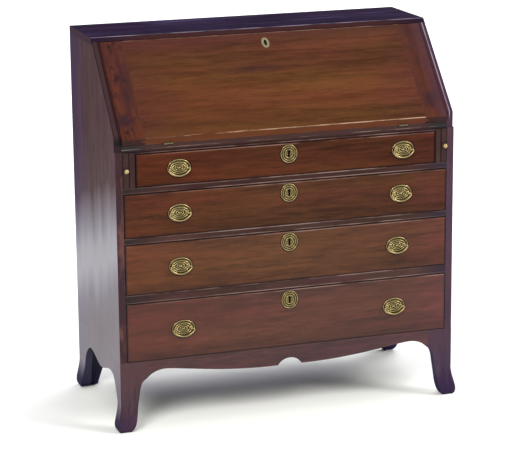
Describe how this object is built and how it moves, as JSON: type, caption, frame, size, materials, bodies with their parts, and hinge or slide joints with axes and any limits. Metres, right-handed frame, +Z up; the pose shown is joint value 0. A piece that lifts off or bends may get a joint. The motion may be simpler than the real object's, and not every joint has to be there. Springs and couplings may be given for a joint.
{
  "type": "slant-front desk",
  "caption": "Slant-front writing desk with a hinged fall on pull-out lopers, graduated drawers with oval brass bail pulls, and a shaped skirt on flared feet.",
  "frame": {"origin": "on the floor under the middle of the desk", "axes": "+Z up, +Y to the back of the desk, +X to the right of a person facing it"},
  "size_m": [1.0324, 0.49, 1.091],
  "materials": {
    "case_wood": "aged polish",
    "front_wood": "aged polish",
    "inner_wood": "bare, darkened",
    "brass": "aged, polished",
    "iron": "dull"
  },
  "bodies": {
    "case": {"right_side": "case_wood", "left_side": "case_wood", "top_board": "case_wood", "bottom_board": "inner_wood", "back_boards": "inner_wood", "fall_stop_rail": "case_wood", "writing_bed": "case_wood", "bed_hinge_leaves": "brass", "drawer_rails": "case_wood", "drawer_runners": "inner_wood", "loper_partitions": "case_wood", "front_skirt": "case_wood", "front_right_foot": "case_wood", "front_left_foot": "case_wood", "rear_right_foot": "case_wood", "rear_left_foot": "case_wood", "foot_blocks": "inner_wood", "gallery_boards": "inner_wood"},
    "fall": {"fall_panel": "front_wood", "fall_cleats": "front_wood", "fall_hinge_leaves": "brass", "fall_escutcheon": "brass", "fall_lock": "iron"},
    "fall_bolt": {"fall_lock_bolt": "iron"},
    "left_loper": {"left_loper": "front_wood", "left_loper_knob": "brass"},
    "right_loper": {"right_loper": "front_wood", "right_loper_knob": "brass"},
    "drawer_1": {"drawer_1_front": "front_wood", "drawer_1_box": "inner_wood", "drawer_1_brasses": "brass", "drawer_1_lock": "iron"},
    "drawer_1_bolt": {"drawer_1_lock_bolt": "iron"},
    "drawer_1_left_bail": {"drawer_1_left_bail": "brass"},
    "drawer_1_right_bail": {"drawer_1_right_bail": "brass"},
    "small_drawer_1": {"small_drawer_1": "inner_wood"},
    "drawer_2": {"drawer_2_front": "front_wood", "drawer_2_box": "inner_wood", "drawer_2_brasses": "brass", "drawer_2_lock": "iron"},
    "drawer_2_bolt": {"drawer_2_lock_bolt": "iron"},
    "drawer_2_left_bail": {"drawer_2_left_bail": "brass"},
    "drawer_2_right_bail": {"drawer_2_right_bail": "brass"},
    "small_drawer_2": {"small_drawer_2": "inner_wood"},
    "drawer_3": {"drawer_3_front": "front_wood", "drawer_3_box": "inner_wood", "drawer_3_brasses": "brass", "drawer_3_lock": "iron"},
    "drawer_3_bolt": {"drawer_3_lock_bolt": "iron"},
    "drawer_3_left_bail": {"drawer_3_left_bail": "brass"},
    "drawer_3_right_bail": {"drawer_3_right_bail": "brass"},
    "small_drawer_3": {"small_drawer_3": "inner_wood"},
    "drawer_4": {"drawer_4_front": "front_wood", "drawer_4_box": "inner_wood", "drawer_4_brasses": "brass", "drawer_4_lock": "iron"},
    "drawer_4_bolt": {"drawer_4_lock_bolt": "iron"},
    "drawer_4_left_bail": {"drawer_4_left_bail": "brass"},
    "drawer_4_right_bail": {"drawer_4_right_bail": "brass"},
    "small_drawer_4": {"small_drawer_4": "inner_wood"}
  },
  "joints": [
    {"name": "fall_hinge", "type": "hinge", "parent": "case", "child": "fall", "pos_m": [0, -0.22281, 0.8211], "axis": [1, 0, 0], "range_deg": [0, 132.5]},
    {"name": "fall_bolt_slide", "type": "slide", "parent": "fall", "child": "fall_bolt", "axis": [0, 0.6756, 0.7373], "range_m": [0, 0.005]},
    {"name": "left_loper_slide", "type": "slide", "parent": "case", "child": "left_loper", "axis": [0, -1, 0], "range_m": [0, 0.28]},
    {"name": "right_loper_slide", "type": "slide", "parent": "case", "child": "right_loper", "axis": [0, -1, 0], "range_m": [0, 0.28]},
    {"name": "drawer_1_slide", "type": "slide", "parent": "case", "child": "drawer_1", "axis": [0, -1, 0], "range_m": [0, 0.33]},
    {"name": "drawer_1_bolt_slide", "type": "slide", "parent": "drawer_1", "child": "drawer_1_bolt", "axis": [0, 0, 1], "range_m": [0, 0.005]},
    {"name": "drawer_1_left_bail_hinge", "type": "hinge", "parent": "drawer_1", "child": "drawer_1_left_bail", "pos_m": [-0.323, -0.239, 0.7515], "axis": [-1, 0, 0], "range_deg": [0, 170]},
    {"name": "drawer_1_right_bail_hinge", "type": "hinge", "parent": "drawer_1", "child": "drawer_1_right_bail", "pos_m": [0.346, -0.239, 0.7515], "axis": [-1, 0, 0], "range_deg": [0, 170]},
    {"name": "small_drawer_1_slide", "type": "slide", "parent": "case", "child": "small_drawer_1", "axis": [0, -1, 0], "range_m": [0, 0.15]},
    {"name": "drawer_2_slide", "type": "slide", "parent": "case", "child": "drawer_2", "axis": [0, -1, 0], "range_m": [0, 0.33]},
    {"name": "drawer_2_bolt_slide", "type": "slide", "parent": "drawer_2", "child": "drawer_2_bolt", "axis": [0, 0, 1], "range_m": [0, 0.005]},
    {"name": "drawer_2_left_bail_hinge", "type": "hinge", "parent": "drawer_2", "child": "drawer_2_left_bail", "pos_m": [-0.323, -0.239, 0.6237], "axis": [-1, 0, 0], "range_deg": [0, 170]},
    {"name": "drawer_2_right_bail_hinge", "type": "hinge", "parent": "drawer_2", "child": "drawer_2_right_bail", "pos_m": [0.34, -0.239, 0.6237], "axis": [-1, 0, 0], "range_deg": [0, 170]},
    {"name": "small_drawer_2_slide", "type": "slide", "parent": "case", "child": "small_drawer_2", "axis": [0, -1, 0], "range_m": [0, 0.15]},
    {"name": "drawer_3_slide", "type": "slide", "parent": "case", "child": "drawer_3", "axis": [0, -1, 0], "range_m": [0, 0.33]},
    {"name": "drawer_3_bolt_slide", "type": "slide", "parent": "drawer_3", "child": "drawer_3_bolt", "axis": [0, 0, 1], "range_m": [0, 0.005]},
    {"name": "drawer_3_left_bail_hinge", "type": "hinge", "parent": "drawer_3", "child": "drawer_3_left_bail", "pos_m": [-0.323, -0.239, 0.4703], "axis": [-1, 0, 0], "range_deg": [0, 170]},
    {"name": "drawer_3_right_bail_hinge", "type": "hinge", "parent": "drawer_3", "child": "drawer_3_right_bail", "pos_m": [0.33, -0.239, 0.4703], "axis": [-1, 0, 0], "range_deg": [0, 170]},
    {"name": "small_drawer_3_slide", "type": "slide", "parent": "case", "child": "small_drawer_3", "axis": [0, -1, 0], "range_m": [0, 0.15]},
    {"name": "drawer_4_slide", "type": "slide", "parent": "case", "child": "drawer_4", "axis": [0, -1, 0], "range_m": [0, 0.33]},
    {"name": "drawer_4_bolt_slide", "type": "slide", "parent": "drawer_4", "child": "drawer_4_bolt", "axis": [0, 0, 1], "range_m": [0, 0.005]},
    {"name": "drawer_4_left_bail_hinge", "type": "hinge", "parent": "drawer_4", "child": "drawer_4_left_bail", "pos_m": [-0.318, -0.239, 0.2878], "axis": [-1, 0, 0], "range_deg": [0, 170]},
    {"name": "drawer_4_right_bail_hinge", "type": "hinge", "parent": "drawer_4", "child": "drawer_4_right_bail", "pos_m": [0.321, -0.239, 0.2878], "axis": [-1, 0, 0], "range_deg": [0, 170]},
    {"name": "small_drawer_4_slide", "type": "slide", "parent": "case", "child": "small_drawer_4", "axis": [0, -1, 0], "range_m": [0, 0.15]}
  ]
}
